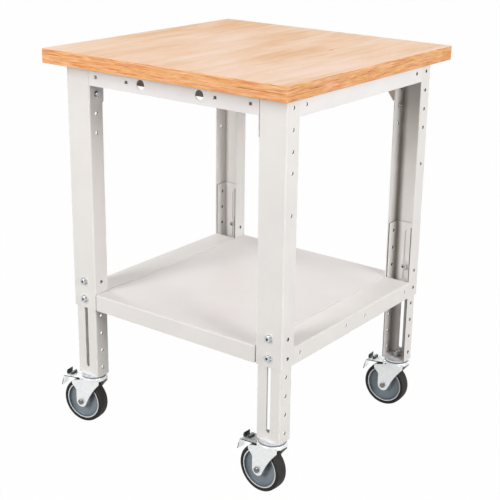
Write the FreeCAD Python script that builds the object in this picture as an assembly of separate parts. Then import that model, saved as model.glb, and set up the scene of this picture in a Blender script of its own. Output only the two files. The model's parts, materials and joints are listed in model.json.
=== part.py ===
"""Mobile workbench: a plywood top on a folded-steel frame with telescopic legs and braked casters.

Millimetres, +Z up. The origin is on the floor under the centre of the worktop, +X runs along the
front edge to the right and -Y faces the front.
"""
import FreeCAD
import Part
import math
import os
from FreeCAD import Vector

# Worktop
worktop_width = 750.0
worktop_depth = 750.0
worktop_thickness = 37.0
worktop_edge_round = 2.0

# Folded sheet steel, shared by the legs, rails, aprons and shelf
sheet = 2.5
bend = 4.0
channel_width = 78.0

# Frame, over the outside faces of the legs
frame_width = 685.0
frame_depth = 650.0

# Outer legs and their row of holes
leg_depth = 46.0
leg_length = 655.0
hole_pitch = 50.0
hole_first = 25.0
hole_last = 25.0
hole_diameter = 9.0
leg_hole_steps = (0, 1, 2, 3)
outer_flange_step = 5
clamp_steps = (0, 1)
apron_bolt_step = 1

# Inner legs
inner_side_clearance = 1.5
inner_web_clearance = 0.3
inner_edge_setback = 1.0
inner_leg_length = 400.0
inner_leg_exposed = 198.0
inner_hole_count = 8
slot_width = 11.0
slot_end = 23.0
foot_plate_thickness = 5.0

# Rails, aprons and shelf
top_rail_depth = 50.0
apron_depth = 50.0
lower_rail_depth = 45.0
rail_hole_inset = 27.0
lower_rail_hole_spacing = 90.0
front_tab_overlap = 2.0
tab_drop = 100.0
tab_corner = 6.0
gusset_drop = 110.0
gusset_chamfer = 29.0
square_hole = 9.0
square_hole_spacings = (276.0, 480.0)
cable_hole_diameter = 25.0
cable_hole_spacing = 183.0
apron_hole_drop = 27.0
shelf_leg_setback = 4.0
shelf_bolt_spacing = 360.0
shelf_bolt_drop = 24.0

# Fasteners: shank, across flats, head height, nut height, washer
clamp_bolt_diameter = 10.0
clamp_bolt_flats = 17.0
clamp_bolt_head = 6.4
clamp_nut_height = 8.0
clamp_washer_diameter = 25.0
clamp_washer_thickness = 2.0
frame_bolt_diameter = 8.0
frame_bolt_flats = 13.0
frame_bolt_head = 5.3
frame_nut_height = 6.5
frame_washer_diameter = 18.0
frame_washer_thickness = 1.6
bolt_end = 3.0
hex_chamfer_angle = 30.0
hex_face_share = 0.95
screw_diameter = 6.0
screw_head_diameter = 13.0
screw_head_top_diameter = 8.0
screw_head_height = 4.0
screw_grip = 26.0
rail_screw_spacing = 300.0
apron_screw_spacing = 400.0

# Caster wheel
wheel_diameter = 125.0
tyre_width = 34.0
tyre_edge_round = 5.0
tread_crown = 1.0
rim_diameter = 104.0
rim_wall = 3.0
rim_width = 30.0
hub_diameter = 34.0
hub_length = 40.0
hub_web = 9.0
hub_web_rim = 15.0
hub_draft = 2.0
hub_dish_round = 5.0
bush_diameter = 15.0
axle_diameter = 10.0
axle_flats = 14.0
axle_head = 5.5
axle_nut_height = 8.0
running_clearance = 0.3

# Caster fork and swivel head
trail = 28.0
fork_wall = 3.0
fork_bend = 6.0
fork_side_clearance = 0.5
wheel_head_gap = 10.0
fork_end_radius = 16.0
fork_nose = 37.0
fork_nose_drop = 7.0
fork_nose_round = 16.0
fork_front_radius = 230.0
fork_shoulder = 30.0
fork_shoulder_rise = 48.0
fork_waist_rise = 34.0
fork_corner_round = 3.0
fork_shoulder_round = 5.0
fork_waist_round = 12.0
ear_round = 2.0
cup_diameter = 74.0
cup_height = 5.7
cup_round = 2.0
race_diameter = 66.0
race_thickness = 6.0
race_groove = 2.6
race_neck_diameter = 57.0
king_pin_diameter = 12.0
king_pin_head_diameter = 20.0
king_pin_head_height = 4.2
stem_diameter = 12.0
stem_flats = 19.0
stem_nut_height = 10.0
stem_washer_diameter = 24.0
stem_washer_thickness = 2.5

# Brake pedal, hinged across the fork behind the swivel head
pedal_pivot_back = 22.0
pedal_pivot_drop = 5.5
pedal_tilt = 5.2
pedal_travel = 9.0
pedal_sheet = 2.5
pedal_reach = 64.0
pedal_width = 44.0
pedal_lip = 30.0
pedal_lip_angle = 70.0
pedal_corner = 6.0
pedal_bend = 3.0
knuckle_diameter = 8.0
knuckle_clearance = 0.5
knuckle_land = 1.5
pedal_root_clearance = 1.2
pedal_pin_diameter = 4.4
ear_half_length = 8.0
pedal_over_fork = 1.5
shoe_thickness = 2.0
shoe_start = 18.0
shoe_length = 14.0
shoe_width = 24.0
lever_start = 42.0
lever_low_length = 7.0
lever_low_shoulder = 5.5
lever_low_lean = 2.0
lever_low_height = 8.0
lever_high_start = 16.0
lever_high_foot = 4.0
lever_high_overhang = 1.5
lever_high_height = 15.0
lever_back_place = 18.5
lever_back_height = 12.0
lever_end_place = 21.5
lever_end_height = 5.0
lever_width = 20.0
lever_round = 1.2

# How far each caster is turned at rest, about its upright swivel axis
caster_turn = {"front_right": -3.0, "front_left": 8.0, "rear_right": 3.0, "rear_left": 0.0}
corner_signs = {"front_right": (1, -1), "front_left": (-1, -1), "rear_right": (1, 1), "rear_left": (-1, 1)}

# Levels and places that follow from the sizes above
wheel_radius = wheel_diameter / 2
crown_under = wheel_diameter + wheel_head_gap
crown_top = crown_under + fork_wall
cup_top = crown_top + cup_height
foot_level = cup_top + running_clearance + race_thickness
leg_bottom = foot_level + inner_leg_exposed
leg_top = leg_bottom + leg_length
bench_height = leg_top + worktop_thickness
inner_top = foot_level + inner_leg_length
leg_inner_x = frame_width / 2 - channel_width
leg_x = frame_width / 2 - channel_width / 2
web_y = frame_depth / 2
flange_edge_y = web_y - leg_depth
hole_y = web_y - leg_depth / 2
inner_width = channel_width - 2 * sheet - 2 * inner_side_clearance
inner_web_y = web_y - sheet - inner_web_clearance
inner_depth = leg_depth - sheet - inner_web_clearance - inner_edge_setback
shelf_top = leg_bottom + lower_rail_depth
fork_inside = hub_length / 2 + fork_side_clearance
fork_outside = fork_inside + fork_wall
knuckle_width = 2 * (fork_outside - fork_bend - knuckle_land - knuckle_clearance)

X_AXIS = Vector(1, 0, 0)
Y_AXIS = Vector(0, 1, 0)
Z_AXIS = Vector(0, 0, 1)
ORIGIN = Vector(0, 0, 0)


def hole_level(step):
    """Height of a hole of the leg's upper row, counted down from the top of the leg."""
    return leg_top - hole_first - hole_pitch * step


def clamp_level(step):
    """Height of a clamp bolt and the holes beside it, counted up from the bottom of the leg."""
    return leg_bottom + hole_last + hole_pitch * step


def box(x0, x1, y0, y1, z0, z1):
    return Part.makeBox(x1 - x0, y1 - y0, z1 - z0, Vector(x0, y0, z0))


def rod(start, axis, diameter, length):
    return Part.makeCylinder(diameter / 2, length, start, axis)


def hexagon(start, axis, flats, height):
    """Hexagon whose flat end is centred on start; its other end is chamfered round."""
    radius = flats / math.sqrt(3)
    corners = [Vector(radius * math.cos(math.radians(60 * i)), radius * math.sin(math.radians(60 * i)), 0)
               for i in range(7)]
    prism = Part.Face(Part.makePolygon(corners)).extrude(Z_AXIS * height)
    face = flats / 2 * hex_face_share
    blank = flats
    drop = (blank - face) * math.tan(math.radians(hex_chamfer_angle))
    turned = outline([(0, 0), (blank, 0), (blank, height - drop), (face, height), (0, height)])
    turned = turned.revolve(ORIGIN, Y_AXIS, 360)
    turned.rotate(ORIGIN, X_AXIS, 90)
    prism = prism.common(turned)
    prism.Placement = FreeCAD.Placement(start, FreeCAD.Rotation(Z_AXIS, axis))
    return prism


def ring(start, axis, outer, inner, height):
    return rod(start, axis, outer, height).cut(rod(start, axis, inner, height))


def outline(corners):
    """Closed face in the XY plane through corners (x, y), rounded where one is (x, y, radius)."""
    count = len(corners)
    points = [Vector(c[0], c[1], 0) for c in corners]
    entries = []
    for i, corner in enumerate(corners):
        radius = corner[2] if len(corner) > 2 else 0.0
        here = points[i]
        to_last = (points[i - 1] - here).normalize()
        to_next = (points[(i + 1) % count] - here).normalize()
        if radius <= 0:
            entries.append((here, here, here))
            continue
        half = to_last.getAngle(to_next) / 2
        reach = radius / math.tan(half)
        middle = (to_last + to_next).normalize() * (radius / math.sin(half) - radius)
        entries.append((here + to_last * reach, here + middle, here + to_next * reach))
    edges = []
    for i, (start, middle, end) in enumerate(entries):
        if start.distanceToPoint(end) > 1e-6:
            edges.append(Part.Arc(start, middle, end).toShape())
        following = entries[(i + 1) % count][0]
        if end.distanceToPoint(following) > 1e-6:
            edges.append(Part.LineSegment(end, following).toShape())
    return Part.Face(Part.Wire(edges))


def channel(width, depth, wall, outer_bend, length):
    """Folded channel along +Z: web on y = 0 centred on x = 0, flanges reaching to y = depth."""
    half = width / 2
    inner_bend = outer_bend - wall
    section = outline([
        (-half, depth), (-half, 0, outer_bend), (half, 0, outer_bend), (half, depth),
        (half - wall, depth), (half - wall, wall, inner_bend),
        (wall - half, wall, inner_bend), (wall - half, depth)])
    return section.extrude(Z_AXIS * length)


def bar_along_y(width, depth, length, wall=sheet, outer_bend=bend):
    """Channel with its web on top at z = 0 and its flanges down, centred on the origin along Y."""
    bar = channel(width, depth, wall, outer_bend, length)
    bar.rotate(ORIGIN, X_AXIS, -90)
    bar.translate(Vector(0, -length / 2, 0))
    return bar


def bar_along_x(width, depth, length, wall=sheet, outer_bend=bend):
    bar = bar_along_y(width, depth, length, wall, outer_bend)
    bar.rotate(ORIGIN, Z_AXIS, 90)
    return bar


def side_plate(corners, y0, y1):
    """Plate whose outline is given in (x, z), between two Y planes."""
    plate = outline(corners).extrude(Z_AXIS * (y1 - y0))
    plate.rotate(ORIGIN, X_AXIS, 90)
    plate.translate(Vector(0, y1, 0))
    return plate


def end_plate(corners, x0, x1):
    """Plate whose outline is given in (y, z), between two X planes."""
    plate = outline(corners).extrude(Z_AXIS * (x1 - x0))
    plate.rotate(ORIGIN, X_AXIS, 90)
    plate.rotate(ORIGIN, Z_AXIS, 90)
    plate.translate(Vector(x0, 0, 0))
    return plate


def fuse(shapes):
    return shapes[0].multiFuse(shapes[1:]).removeSplitter()


def cut(shape, tools):
    return shape.cut(Part.makeCompound(tools))


def to_corner(shape, signs):
    """Copy of a front right piece mirrored to the corner with these signs of x and y."""
    if signs[0] < 0:
        shape = shape.mirror(ORIGIN, X_AXIS)
    if signs[1] > 0:
        shape = shape.mirror(ORIGIN, Y_AXIS)
    return shape


# Worktop and the screws that hold it to the rails and aprons

def screw_places():
    places = []
    for side in (-1, 1):
        for end in (-1, 1):
            places.append((side * leg_x, end * rail_screw_spacing / 2))
            places.append((end * apron_screw_spacing / 2, side * (web_y - channel_width / 2)))
    return places


def screw_bore(place, level):
    return rod(Vector(place[0], place[1], level), Z_AXIS, screw_diameter, screw_grip)


def make_worktop():
    half_x = worktop_width / 2
    half_y = worktop_depth / 2
    slab = box(-half_x, half_x, -half_y, half_y, leg_top, bench_height)
    slab = slab.makeFillet(worktop_edge_round, slab.Edges)
    return cut(slab, [screw_bore(place, leg_top - sheet) for place in screw_places()])


def make_worktop_screws():
    screws = []
    for place in screw_places():
        under_web = Vector(place[0], place[1], leg_top - sheet)
        head = Part.makeCone(screw_head_diameter / 2, screw_head_top_diameter / 2, screw_head_height,
                             under_web, -Z_AXIS)
        screws.append(head.fuse(screw_bore(place, leg_top - sheet)))
    return screws


# Legs, front right

def make_outer_leg():
    leg = channel(channel_width, leg_depth, sheet, bend, leg_length)
    leg.translate(Vector(leg_x, -web_y, leg_bottom))
    tools = [rod(Vector(leg_x, -hole_y, hole_level(outer_flange_step)), X_AXIS, hole_diameter, channel_width)]
    for step in clamp_steps:
        start = Vector(leg_x, -web_y - sheet, clamp_level(step))
        tools.append(rod(start, Y_AXIS, clamp_bolt_diameter, 3 * sheet))
    levels = [hole_level(step) for step in leg_hole_steps] + [clamp_level(step) for step in clamp_steps]
    for level in levels:
        start = Vector(leg_inner_x - sheet, -hole_y, level)
        tools.append(rod(start, X_AXIS, hole_diameter, channel_width + 2 * sheet))
    return cut(leg, tools)


def make_inner_leg():
    leg = channel(inner_width, inner_depth, sheet, bend, inner_leg_length)
    leg.translate(Vector(leg_x, -inner_web_y, foot_level))
    half = inner_width / 2 - sheet
    foot = box(leg_x - half, leg_x + half, sheet - inner_web_y, inner_depth - inner_web_y,
               foot_level, foot_level + foot_plate_thickness)
    leg = fuse([leg, foot])
    slot_low = foot_level + slot_end + slot_width / 2
    slot_high = inner_top - slot_end - slot_width / 2
    slot_start = -inner_web_y - sheet
    tools = [box(leg_x - slot_width / 2, leg_x + slot_width / 2, slot_start, slot_start + 3 * sheet,
                 slot_low, slot_high)]
    for level in (slot_low, slot_high):
        tools.append(rod(Vector(leg_x, slot_start, level), Y_AXIS, slot_width, 3 * sheet))
    for step in range(inner_hole_count):
        start = Vector(leg_inner_x, -hole_y, foot_level + hole_first + hole_pitch * step)
        tools.append(rod(start, X_AXIS, hole_diameter, channel_width))
    tools.append(rod(Vector(leg_x, -hole_y, foot_level - sheet), Z_AXIS, stem_diameter,
                     foot_plate_thickness + 2 * sheet))
    return cut(leg, tools)


def make_clamp_bolts():
    bolts = []
    grip = 2 * sheet + 2 * inner_web_clearance
    length = clamp_washer_thickness * 2 + grip + clamp_nut_height + bolt_end
    for step in clamp_steps:
        face = Vector(leg_x, -web_y, clamp_level(step))
        seat = face - Y_AXIS * clamp_washer_thickness
        bolts.append(hexagon(seat, -Y_AXIS, clamp_bolt_flats, clamp_bolt_head).fuse(
            rod(seat, Y_AXIS, clamp_bolt_diameter, length)))
        bolts.append(ring(seat, Y_AXIS, clamp_washer_diameter, clamp_bolt_diameter, clamp_washer_thickness))
    return bolts


def make_clamp_nuts():
    nuts = []
    grip = 2 * sheet + 2 * inner_web_clearance
    for step in clamp_steps:
        seat = Vector(leg_x, -web_y + grip, clamp_level(step))
        nuts.append(ring(seat, Y_AXIS, clamp_washer_diameter, clamp_bolt_diameter, clamp_washer_thickness))
        nut_seat = seat + Y_AXIS * clamp_washer_thickness
        bore = rod(nut_seat, Y_AXIS, clamp_bolt_diameter, clamp_nut_height)
        nuts.append(hexagon(nut_seat, Y_AXIS, clamp_bolt_flats, clamp_nut_height).cut(bore))
    return nuts


# Rails, aprons and shelf

def make_top_rail():
    rail = bar_along_y(channel_width, top_rail_depth, 2 * flange_edge_y)
    rail.translate(Vector(leg_x, 0, leg_top))
    tools = []
    for end in (-1, 1):
        start = Vector(leg_inner_x - sheet, end * (flange_edge_y - rail_hole_inset), hole_level(0))
        tools.append(rod(start, X_AXIS, hole_diameter, channel_width + 2 * sheet))
        tools.append(screw_bore((leg_x, end * rail_screw_spacing / 2), leg_top - 2 * sheet))
    return cut(rail, tools)


def make_lower_rail():
    rail = bar_along_y(channel_width, lower_rail_depth, 2 * flange_edge_y)
    rail.translate(Vector(leg_x, 0, shelf_top))
    tools = []
    for end in (-1, 1):
        for y in (flange_edge_y - rail_hole_inset, lower_rail_hole_spacing / 2):
            start = Vector(leg_x, end * y, clamp_level(0))
            tools.append(rod(start, X_AXIS, hole_diameter, channel_width))
        start = Vector(leg_inner_x - sheet, end * shelf_bolt_spacing / 2, shelf_top - shelf_bolt_drop)
        tools.append(rod(start, X_AXIS, frame_bolt_diameter, 3 * sheet))
    return cut(rail, tools)


def apron_body():
    """Front apron without its ends: a channel with square slots and round cable holes in its outer flange."""
    length = 2 * leg_inner_x - 2 * sheet
    body = bar_along_x(channel_width, apron_depth, length)
    body.translate(Vector(0, channel_width / 2 - web_y, leg_top))
    hole_z = leg_top - apron_hole_drop
    tools = []
    for end in (-1, 1):
        for spacing in square_hole_spacings:
            x = end * spacing / 2
            tools.append(box(x - square_hole / 2, x + square_hole / 2, -web_y - sheet, -web_y + 2 * sheet,
                             hole_z - square_hole / 2, hole_z + square_hole / 2))
        start = Vector(end * cable_hole_spacing / 2, -web_y - sheet, hole_z)
        tools.append(rod(start, Y_AXIS, cable_hole_diameter, 3 * sheet))
        place = (end * apron_screw_spacing / 2, channel_width / 2 - web_y)
        tools.append(screw_bore(place, leg_top - 2 * sheet))
    return cut(body, tools)


def with_end_plates(body, corners):
    """Front apron closed by an upright plate at each end, drilled for the leg bolts."""
    plates = []
    for end in (-1, 1):
        x0 = leg_inner_x - sheet if end > 0 else -leg_inner_x
        plate = end_plate(corners, x0, x0 + sheet)
        start = Vector(x0 - sheet, -hole_y, hole_level(apron_bolt_step))
        plates.append(plate.cut(rod(start, X_AXIS, frame_bolt_diameter, 3 * sheet)))
    return fuse([body] + plates)


def make_front_apron():
    low = leg_top - tab_drop
    back = -flange_edge_y + front_tab_overlap
    return with_end_plates(apron_body(), [
        (-web_y, leg_top), (-web_y, low, tab_corner), (back, low, tab_corner),
        (back, leg_top)])


def make_rear_apron():
    low = leg_top - gusset_drop
    back = channel_width - web_y
    apron = with_end_plates(apron_body(), [
        (-web_y, leg_top), (-web_y, low, tab_corner), (back - gusset_chamfer, low),
        (back, low + gusset_chamfer), (back, leg_top)])
    return apron.mirror(ORIGIN, Y_AXIS)


def make_shelf():
    across = bar_along_x(frame_depth, lower_rail_depth, 2 * (leg_inner_x - shelf_leg_setback))
    along = bar_along_y(2 * leg_inner_x, lower_rail_depth, 2 * (flange_edge_y - shelf_leg_setback),
                        outer_bend=shelf_leg_setback)
    shelf = fuse([across, along])
    shelf.translate(Vector(0, 0, shelf_top))
    tools = []
    for side in (-1, 1):
        for end in (-1, 1):
            start = Vector(side * leg_inner_x - 2 * sheet, end * shelf_bolt_spacing / 2,
                           shelf_top - shelf_bolt_drop)
            tools.append(rod(start, X_AXIS, frame_bolt_diameter, 4 * sheet))
    return cut(shelf, tools)


def bolt_and_washer(face, axis, grip):
    """Frame bolt whose washer lies on face; the shank runs along axis through grip and a nut."""
    seat = face - axis * frame_washer_thickness
    length = frame_washer_thickness + grip + frame_nut_height + bolt_end
    bolt = hexagon(seat, -axis, frame_bolt_flats, frame_bolt_head).fuse(
        rod(seat, axis, frame_bolt_diameter, length))
    return [bolt, ring(seat, axis, frame_washer_diameter, frame_bolt_diameter, frame_washer_thickness)]


def frame_nut(face, axis):
    bore = rod(face, axis, frame_bolt_diameter, frame_nut_height)
    return hexagon(face, axis, frame_bolt_flats, frame_nut_height).cut(bore)


def make_apron_fasteners():
    """Bolts and nuts of the four apron ends, front right one first."""
    inside = Vector(leg_inner_x - sheet, -hole_y, hole_level(apron_bolt_step))
    bolts = bolt_and_washer(inside, X_AXIS, 2 * sheet)
    nut = frame_nut(inside + X_AXIS * 2 * sheet, X_AXIS)
    signs = corner_signs.values()
    return ([to_corner(piece, s) for s in signs for piece in bolts],
            [to_corner(nut, s) for s in signs])


def make_shelf_fasteners():
    inside = Vector(leg_inner_x - sheet, -shelf_bolt_spacing / 2, shelf_top - shelf_bolt_drop)
    bolts = bolt_and_washer(inside, X_AXIS, 2 * sheet)
    nut = frame_nut(inside + X_AXIS * 2 * sheet, X_AXIS)
    signs = corner_signs.values()
    return ([to_corner(piece, s) for s in signs for piece in bolts],
            [to_corner(nut, s) for s in signs])


# Caster, made with its swivel axis on Z, the floor at z = 0 and the wheel trailing to -X

axle_point = Vector(-trail, 0, wheel_radius)


def revolve_on_axle(profile):
    """Solid of revolution about the axle from an outline given as (radius, distance along the axle)."""
    solid = outline(profile).revolve(ORIGIN, Y_AXIS, 360)
    solid.translate(axle_point)
    return solid


def make_tyre():
    half = tyre_width / 2
    seat = rim_diameter / 2
    edge = wheel_radius - tread_crown
    return revolve_on_axle([
        (seat, -rim_width / 2), (seat + rim_wall / 2, -half, rim_wall / 4), (edge, -half, tyre_edge_round),
        (wheel_radius, 0), (edge, half, tyre_edge_round), (seat + rim_wall / 2, half, rim_wall / 4),
        (seat, rim_width / 2)])


def make_wheel_hub():
    seat = rim_diameter / 2
    rim = seat - rim_wall
    boss = hub_diameter / 2
    bore = bush_diameter / 2
    web = hub_web / 2
    web_rim = hub_web_rim / 2
    face = rim_width / 2
    end = hub_length / 2
    return revolve_on_axle([
        (bore, -end), (boss - hub_draft, -end), (boss, -web, hub_draft),
        (rim - hub_draft, -web_rim, hub_dish_round), (rim, -face), (seat, -face), (seat, face), (rim, face),
        (rim - hub_draft, web_rim, hub_dish_round), (boss, web, hub_draft), (boss - hub_draft, end),
        (bore, end)])


def make_wheel_bush():
    start = axle_point - Y_AXIS * hub_length / 2
    return ring(start, Y_AXIS, bush_diameter, axle_diameter + 2 * running_clearance, hub_length)


def make_axle():
    seat = axle_point - Y_AXIS * fork_outside
    length = 2 * fork_outside + axle_nut_height + bolt_end
    bolt = hexagon(seat, -Y_AXIS, axle_flats, axle_head).fuse(rod(seat, Y_AXIS, axle_diameter, length))
    nut_face = axle_point + Y_AXIS * fork_outside
    nut = hexagon(nut_face, Y_AXIS, axle_flats, axle_nut_height)
    return [bolt, nut.cut(rod(nut_face, Y_AXIS, axle_diameter, axle_nut_height))]


pedal_pivot = Vector(-pedal_pivot_back, 0, crown_top - pedal_pivot_drop)


def pressed_line(x):
    """Height of the underside of the fully pressed pedal plate at x."""
    slope = math.radians(pedal_tilt + pedal_travel)
    back = pedal_pivot.x - x
    return pedal_pivot.z - pedal_sheet / 2 / math.cos(slope) - back * math.tan(slope)


def fork_side():
    """Side view of the fork as a block across its whole width, with a hollow front edge."""
    nose_z = crown_top - fork_nose_drop
    away_x = fork_nose - axle_point.x
    away_z = nose_z - axle_point.z
    away = math.hypot(away_x, away_z)
    reach = fork_front_radius + fork_end_radius
    spread = math.acos((away ** 2 + reach ** 2 - fork_front_radius ** 2) / (2 * away * reach))
    turn = math.atan2(away_z, away_x) - spread
    towards = Vector(math.cos(turn), 0, math.sin(turn))
    tangent = axle_point + towards * fork_end_radius
    hollow = axle_point + towards * reach - Y_AXIS * fork_outside
    waist = axle_point.x - fork_end_radius
    shoulder = axle_point.x - fork_shoulder
    ear = pedal_pivot.x - ear_half_length
    plate = side_plate([
        (tangent.x, tangent.z), (fork_nose, nose_z), (fork_nose, crown_top), (ear, crown_top, ear_round),
        (ear, pressed_line(ear) - pedal_over_fork),
        (shoulder, pressed_line(shoulder) - pedal_over_fork, fork_corner_round),
        (shoulder, axle_point.z + fork_shoulder_rise, fork_shoulder_round),
        (waist, axle_point.z + fork_waist_rise, fork_waist_round),
        (waist, axle_point.z), (axle_point.x, axle_point.z)], -fork_outside, fork_outside)
    plate = plate.cut(rod(hollow, Y_AXIS, 2 * fork_front_radius, 2 * fork_outside))
    end = rod(axle_point - Y_AXIS * fork_outside, Y_AXIS, 2 * fork_end_radius, 2 * fork_outside)
    return fuse([plate, end])


def make_fork():
    length = 2 * wheel_diameter
    body = bar_along_x(2 * fork_outside, crown_top, length, fork_wall, fork_bend)
    body.translate(Vector(0, 0, crown_top))
    plan = outline([
        (-length / 2, -fork_outside), (fork_nose, -fork_outside, fork_nose_round),
        (fork_nose, fork_outside, fork_nose_round), (-length / 2, fork_outside)])
    body = body.common(fork_side()).common(plan.extrude(Z_AXIS * crown_top))
    cup = rod(Vector(0, 0, crown_top), Z_AXIS, cup_diameter, cup_height)
    cup = cup.makeFillet(cup_round, [e for e in cup.Edges if abs(e.CenterOfMass.z - cup_top) < 1e-6])
    king_bore = king_pin_diameter + 2 * running_clearance
    notch_back = pedal_pivot.x - ear_half_length
    knuckle = knuckle_diameter / 2 + knuckle_clearance
    notch_side = knuckle_width / 2 + knuckle_clearance
    tools = [
        rod(Vector(0, 0, crown_under - fork_wall), Z_AXIS, king_bore, cup_height + 3 * fork_wall),
        rod(axle_point - Y_AXIS * 2 * fork_outside, Y_AXIS, axle_diameter, 4 * fork_outside),
        rod(pedal_pivot - Y_AXIS * 2 * fork_outside, Y_AXIS,
            pedal_pin_diameter + 2 * running_clearance, 4 * fork_outside),
        box(notch_back - fork_wall, pedal_pivot.x + knuckle, -notch_side, notch_side,
            crown_under - 2 * fork_wall, crown_top)]
    return cut(fuse([body, cup]), tools)


def make_pedal():
    """Zinc pedal: pivot knuckle, flat plate, lip turned down at the tip and a shoe under the plate."""
    half = pedal_sheet / 2
    lean = math.radians(pedal_lip_angle)
    tip_x = pedal_pivot.x - pedal_reach
    lip_x = tip_x - pedal_lip * math.cos(lean)
    lip_z = pedal_pivot.z - pedal_lip * math.sin(lean)
    across = Vector(-math.sin(lean), 0, math.cos(lean)) * half
    mitre = half * math.tan(lean / 2)
    profile = side_plate([
        (pedal_pivot.x, pedal_pivot.z - half), (pedal_pivot.x, pedal_pivot.z + half),
        (tip_x - mitre, pedal_pivot.z + half, pedal_bend + pedal_sheet),
        (lip_x + across.x, lip_z + across.z), (lip_x - across.x, lip_z - across.z),
        (tip_x + mitre, pedal_pivot.z - half, pedal_bend)], -pedal_width / 2, pedal_width / 2)
    root = pedal_pivot.x - ear_half_length - pedal_root_clearance
    neck = knuckle_width / 2
    wide = pedal_width / 2
    plan = outline([
        (pedal_pivot.x, -neck), (pedal_pivot.x, neck), (root, neck), (root, wide, pedal_corner),
        (lip_x - pedal_sheet, wide), (lip_x - pedal_sheet, -wide), (root, -wide, pedal_corner),
        (root, -neck)])
    profile = profile.common(plan.extrude(Z_AXIS * foot_level))
    knuckle = rod(pedal_pivot - Y_AXIS * neck, Y_AXIS, knuckle_diameter, 2 * neck)
    pin = rod(pedal_pivot - Y_AXIS * fork_outside, Y_AXIS, pedal_pin_diameter, 2 * fork_outside)
    shoe_x = pedal_pivot.x - shoe_start
    shoe_z = pedal_pivot.z - half
    shoe = side_plate([
        (shoe_x, shoe_z), (shoe_x - shoe_thickness, shoe_z - shoe_thickness),
        (shoe_x - shoe_length + shoe_thickness, shoe_z - shoe_thickness), (shoe_x - shoe_length, shoe_z)],
        -shoe_width / 2, shoe_width / 2)
    pedal = fuse([profile, knuckle, pin, shoe])
    pedal.rotate(pedal_pivot, Y_AXIS, -pedal_tilt)
    return pedal


def make_lever():
    """Release lever on the pedal plate: a low tongue by the fork and a high one over the tip."""
    base = pedal_pivot.z + pedal_sheet / 2
    near = pedal_pivot.x - lever_start
    low = [
        (0, 0), (0, lever_low_shoulder, lever_round), (lever_low_lean, lever_low_height, lever_round),
        (lever_low_length - lever_round, lever_low_height, lever_round), (lever_low_length, 0)]
    high = [
        (lever_high_start, 0), (lever_high_start - lever_high_overhang, lever_high_height, lever_round / 2),
        (lever_back_place, lever_back_height, 2 * lever_round),
        (lever_end_place, lever_end_height, lever_round),
        (lever_high_start + lever_high_foot, 0)]
    tongues = []
    for places in (low, high):
        corners = [(near - place[0], base + place[1]) + place[2:] for place in places]
        tongue = side_plate(corners, -lever_width / 2, lever_width / 2)
        tongue.rotate(pedal_pivot, Y_AXIS, -pedal_tilt)
        tongues.append(tongue)
    return tongues


def make_stem():
    """King pin with its rivet head, the fixed upper race and the stem through the foot plate."""
    head_top = crown_under - running_clearance
    head_low = head_top - king_pin_head_height
    race_low = foot_level - race_thickness
    stem_top = foot_level + foot_plate_thickness + stem_washer_thickness + stem_nut_height + bolt_end
    head = rod(Vector(0, 0, head_low), Z_AXIS, king_pin_head_diameter, king_pin_head_height)
    pin = rod(Vector(0, 0, head_low), Z_AXIS, king_pin_diameter, race_low - head_low)
    neck = rod(Vector(0, 0, race_low), Z_AXIS, race_neck_diameter, race_groove)
    race = rod(Vector(0, 0, race_low + race_groove), Z_AXIS, race_diameter, race_thickness - race_groove)
    stem = rod(Vector(0, 0, foot_level), Z_AXIS, stem_diameter, stem_top - foot_level)
    return fuse([head, pin, neck, race, stem])


def make_stem_nut():
    seat = Vector(0, 0, foot_level + foot_plate_thickness)
    nut_seat = seat + Z_AXIS * stem_washer_thickness
    bore = rod(nut_seat, Z_AXIS, stem_diameter, stem_nut_height)
    return [ring(seat, Z_AXIS, stem_washer_diameter, stem_diameter, stem_washer_thickness),
            hexagon(nut_seat, Z_AXIS, stem_flats, stem_nut_height).cut(bore)]


def make_caster():
    return {
        "caster_stem": [make_stem()],
        "caster_stem_nut": make_stem_nut(),
        "caster_fork": [make_fork()],
        "wheel_axle": make_axle(),
        "wheel_bush": [make_wheel_bush()],
        "wheel_hub": [make_wheel_hub()],
        "tyre": [make_tyre()],
        "brake_pedal": [make_pedal()],
        "brake_lever": make_lever(),
    }


def place_caster(shape, corner):
    signs = corner_signs[corner]
    placed = shape.copy()
    placed.rotate(ORIGIN, Z_AXIS, caster_turn[corner])
    placed.translate(Vector(signs[0] * leg_x, signs[1] * hole_y, 0))
    return placed


def build():
    """All nodes by name, each a list of separate solids."""
    apron_bolts, apron_nuts = make_apron_fasteners()
    shelf_bolts, shelf_nuts = make_shelf_fasteners()
    nodes = {
        "worktop": [make_worktop()],
        "worktop_screws": make_worktop_screws(),
        "front_apron": [make_front_apron()],
        "rear_apron": [make_rear_apron()],
        "shelf": [make_shelf()],
        "apron_bolts": apron_bolts,
        "apron_nuts": apron_nuts,
        "shelf_bolts": shelf_bolts,
        "shelf_nuts": shelf_nuts,
        "leg_clamp_bolts": [],
        "leg_clamp_nuts": [],
    }
    top_rail = make_top_rail()
    lower_rail = make_lower_rail()
    nodes["top_rail_right"] = [top_rail]
    nodes["top_rail_left"] = [top_rail.mirror(ORIGIN, X_AXIS)]
    nodes["lower_rail_right"] = [lower_rail]
    nodes["lower_rail_left"] = [lower_rail.mirror(ORIGIN, X_AXIS)]
    outer_leg = make_outer_leg()
    inner_leg = make_inner_leg()
    clamp_bolts = make_clamp_bolts()
    clamp_nuts = make_clamp_nuts()
    caster = make_caster()
    for corner, signs in corner_signs.items():
        nodes["outer_leg_" + corner] = [to_corner(outer_leg, signs)]
        nodes["inner_leg_" + corner] = [to_corner(inner_leg, signs)]
        nodes["leg_clamp_bolts"] += [to_corner(piece, signs) for piece in clamp_bolts]
        nodes["leg_clamp_nuts"] += [to_corner(piece, signs) for piece in clamp_nuts]
        for name, pieces in caster.items():
            nodes[name + "_" + corner] = [place_caster(piece, corner) for piece in pieces]
    return nodes


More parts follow.
